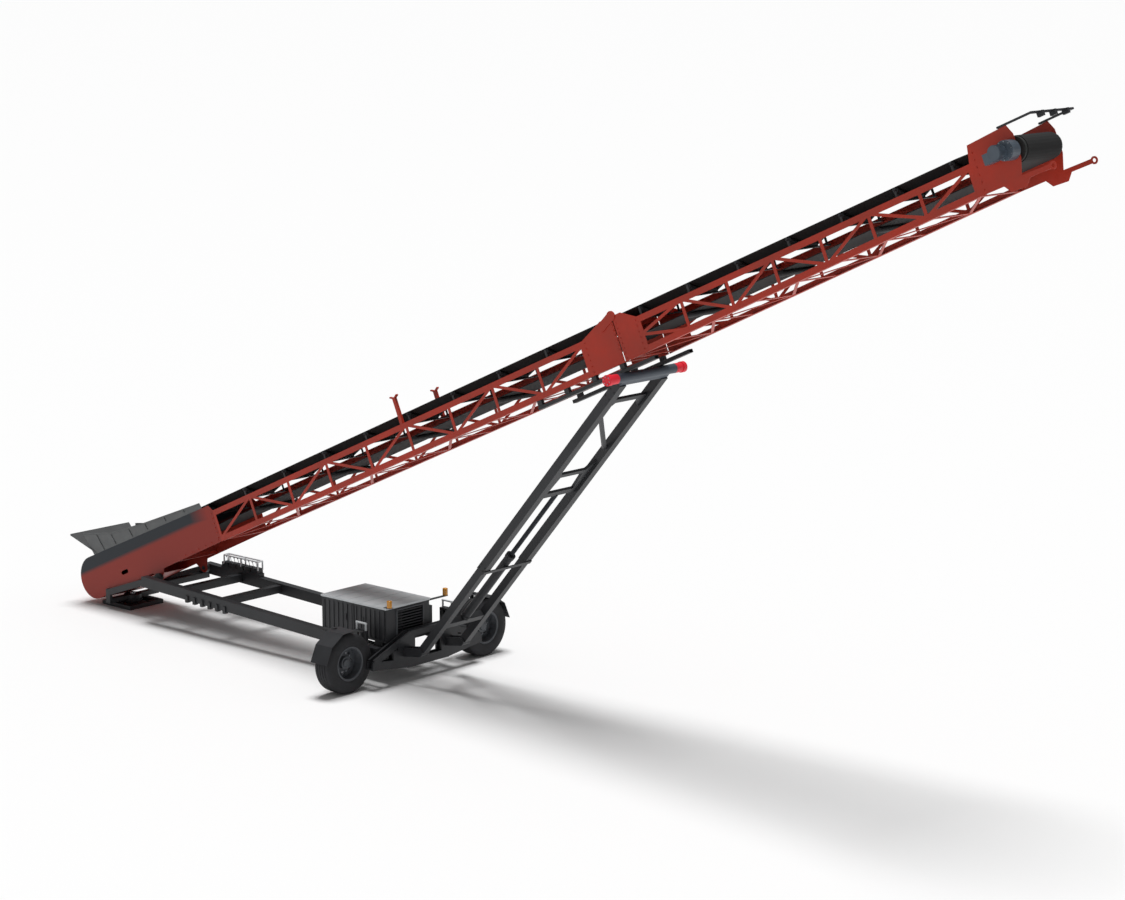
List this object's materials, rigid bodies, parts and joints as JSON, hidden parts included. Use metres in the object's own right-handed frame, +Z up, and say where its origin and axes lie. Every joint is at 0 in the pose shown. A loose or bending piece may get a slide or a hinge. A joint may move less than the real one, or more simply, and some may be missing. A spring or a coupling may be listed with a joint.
{
  "type": "radial stacker conveyor",
  "caption": "Wheeled radial stacking conveyor with a folding lattice boom, telescopic support legs, swivelling wheels, side power pack and slewing tail stand.",
  "frame": {"origin": "on the ground at the foot of the slewing pin, in the centre of the anchor stand", "axes": "+X towards the head of the boom, +Y to the left seen from the tail, +Z up"},
  "size_m": [22.0415, 4.6178, 10.6194],
  "materials": {
    "boom_red": "satin",
    "bright_red": "satin",
    "chassis_grey": "satin",
    "pack_grey": "satin",
    "lid_grey": "satin",
    "roller_grey": "matte",
    "engine_iron": "rough",
    "hopper_grey": "satin",
    "belt_black": "matte",
    "bright_steel": "brushed",
    "tyre_black": "matte",
    "rim_grey": "satin",
    "amber": "gloss"
  },
  "bodies": {
    "chassis": {"chassis_beam_right": "chassis_grey", "chassis_beam_left": "chassis_grey", "chassis_cross_members": "chassis_grey", "chassis_rear_head": "chassis_grey", "axle_frame": "chassis_grey", "kingpin_arm_right": "chassis_grey", "kingpin_arm_left": "chassis_grey", "powerpack_housing": "pack_grey", "powerpack_lid": "lid_grey", "radiator_grille": "pack_grey", "engine_block": "engine_iron", "powerpack_seats": "chassis_grey", "hydraulic_tank": "chassis_grey", "valve_bank": "chassis_grey", "beacon_right": "amber", "beacon_left": "amber"},
    "stand": {"anchor_stand": "chassis_grey", "anchor_pin": "bright_steel"},
    "boom": {"main_truss_right": "boom_red", "main_truss_left": "boom_red", "main_lacing": "boom_red", "belt_carry_main": "belt_black", "belt_return_main": "belt_black", "idler_frames_main": "chassis_grey", "rollers_main": "roller_grey", "return_rollers_main": "roller_grey", "tail_plates": "boom_red", "tail_guard": "boom_red", "tail_drum": "bright_steel", "hopper_rear": "hopper_grey", "hopper_sides": "hopper_grey", "transport_rests": "boom_red", "slide_rails": "chassis_grey"},
    "head": {"head_truss_right": "boom_red", "head_truss_left": "boom_red", "head_lacing": "boom_red", "belt_carry_head": "belt_black", "belt_return_head": "belt_black", "idler_frames_head": "chassis_grey", "rollers_head": "roller_grey", "return_rollers_head": "roller_grey", "head_plates": "boom_red", "head_drum": "bright_steel", "drive_motor": "chassis_grey", "spray_bar": "chassis_grey"},
    "leg_lower": {"leg_inner": "chassis_grey", "lift_barrel": "chassis_grey"},
    "leg_upper": {"leg_outer": "chassis_grey", "leg_bracing": "chassis_grey", "leg_cross_beam": "chassis_grey", "leg_end_caps": "bright_red", "lift_rod": "bright_steel"},
    "carrier_right": {"wheel_carrier_right": "chassis_grey", "mudguard_right": "chassis_grey"},
    "carrier_left": {"wheel_carrier_left": "chassis_grey", "mudguard_left": "chassis_grey"},
    "wheel_right": {"tyre_right": "tyre_black", "rim_right": "rim_grey"},
    "wheel_left": {"tyre_left": "tyre_black", "rim_left": "rim_grey"}
  },
  "joints": [
    {"name": "stand_slew", "type": "hinge", "parent": "chassis", "child": "stand", "pos_m": [0, 0, 0.2], "axis": [0, 0, 1], "continuous": true},
    {"name": "boom_luff", "type": "hinge", "parent": "chassis", "child": "boom", "pos_m": [1.51169, 0, 0.85347], "axis": [0, 1, 0], "range_deg": [0, 12]},
    {"name": "head_fold", "type": "hinge", "parent": "boom", "child": "head", "pos_m": [12.8558, 0, 6.96178], "axis": [0, -1, 0], "range_deg": [0, 178]},
    {"name": "leg_swing", "type": "hinge", "parent": "chassis", "child": "leg_lower", "pos_m": [8.5, 0, 0.62], "axis": [0, 1, 0], "range_deg": [0, 23.04]},
    {"name": "leg_slide", "type": "slide", "parent": "leg_lower", "child": "leg_upper", "axis": [0.6527, 0, 0.7576], "range_m": [-0.39794, 0]},
    {"name": "swivel_right", "type": "hinge", "parent": "chassis", "child": "carrier_right", "pos_m": [7.6, -1.08, 0.7], "axis": [0, 0, -1], "range_deg": [0, 90]},
    {"name": "swivel_left", "type": "hinge", "parent": "chassis", "child": "carrier_left", "pos_m": [7.6, 1.08, 0.7], "axis": [0, 0, 1], "range_deg": [0, 90]},
    {"name": "wheel_roll_right", "type": "hinge", "parent": "carrier_right", "child": "wheel_right", "pos_m": [7.75, -1.72, 0.536], "axis": [1, 0, 0], "continuous": true},
    {"name": "wheel_roll_left", "type": "hinge", "parent": "carrier_left", "child": "wheel_left", "pos_m": [7.75, 1.72, 0.536], "axis": [1, 0, 0], "continuous": true}
  ],
  "couplings": [
    {"joint": "leg_swing", "follows": "boom_luff", "ratio": 1.92},
    {"joint": "leg_slide", "follows": "boom_luff", "m_per_rad": -1.9}
  ]
}
